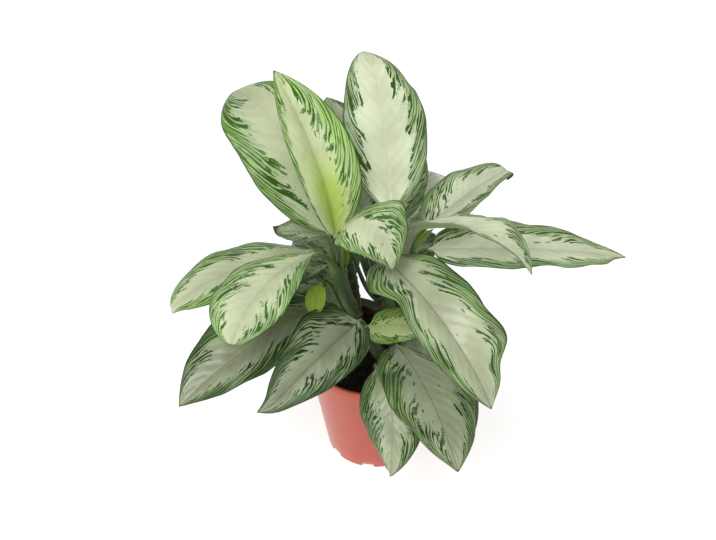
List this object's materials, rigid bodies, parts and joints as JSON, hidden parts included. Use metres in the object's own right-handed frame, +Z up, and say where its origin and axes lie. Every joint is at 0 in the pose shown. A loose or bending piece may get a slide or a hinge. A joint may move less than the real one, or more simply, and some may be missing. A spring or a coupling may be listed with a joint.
{
  "type": "potted chinese evergreen plant",
  "caption": "Bushy house plant with broad, pointed, silver-green leaves on arching stalks from short canes, growing in a round tapered nursery pot of orange plastic.",
  "frame": {"origin": "middle of the pot's underside, on the surface the pot stands on", "axes": "+Z up through the pot; -Y is the front, the side from which the leaves were placed to be seen; +X is to the viewer's right"},
  "size_m": [0.5116, 0.4744, 0.4863],
  "materials": {
    "pot_plastic": "satin",
    "potting_soil": "matte",
    "cane": "matte",
    "leaf": "satin",
    "young_leaf": "satin"
  },
  "bodies": {
    "root": {"pot": "pot_plastic", "soil": "potting_soil", "cane_left": "cane", "cane_middle": "cane", "cane_right": "cane", "cane_front": "cane", "cane_back": "cane", "leaf_top": "leaf", "leaf_top_left": "leaf", "leaf_young_left": "young_leaf", "leaf_back_top": "leaf", "leaf_back_right": "leaf", "leaf_centre": "leaf", "leaf_small_left": "leaf", "leaf_left_back": "leaf", "leaf_left_front": "leaf", "leaf_right_back": "leaf", "leaf_right": "leaf", "leaf_far_right": "leaf", "leaf_front_right": "leaf", "leaf_inner_left": "leaf", "leaf_low_left": "leaf", "leaf_low_front_left": "leaf", "leaf_front": "leaf", "leaf_low_front_right": "leaf", "leaf_low_right": "leaf", "leaf_young_front": "young_leaf", "leaf_furled": "young_leaf", "leaf_spear_left": "young_leaf", "leaf_spear_right": "young_leaf", "leaf_shaded_left": "leaf", "leaf_rear_right": "leaf", "leaf_rear_left": "leaf", "leaf_rear_low_right": "leaf", "leaf_rear_low_left": "leaf", "leaf_rear_low": "leaf"}
  },
  "joints": []
}
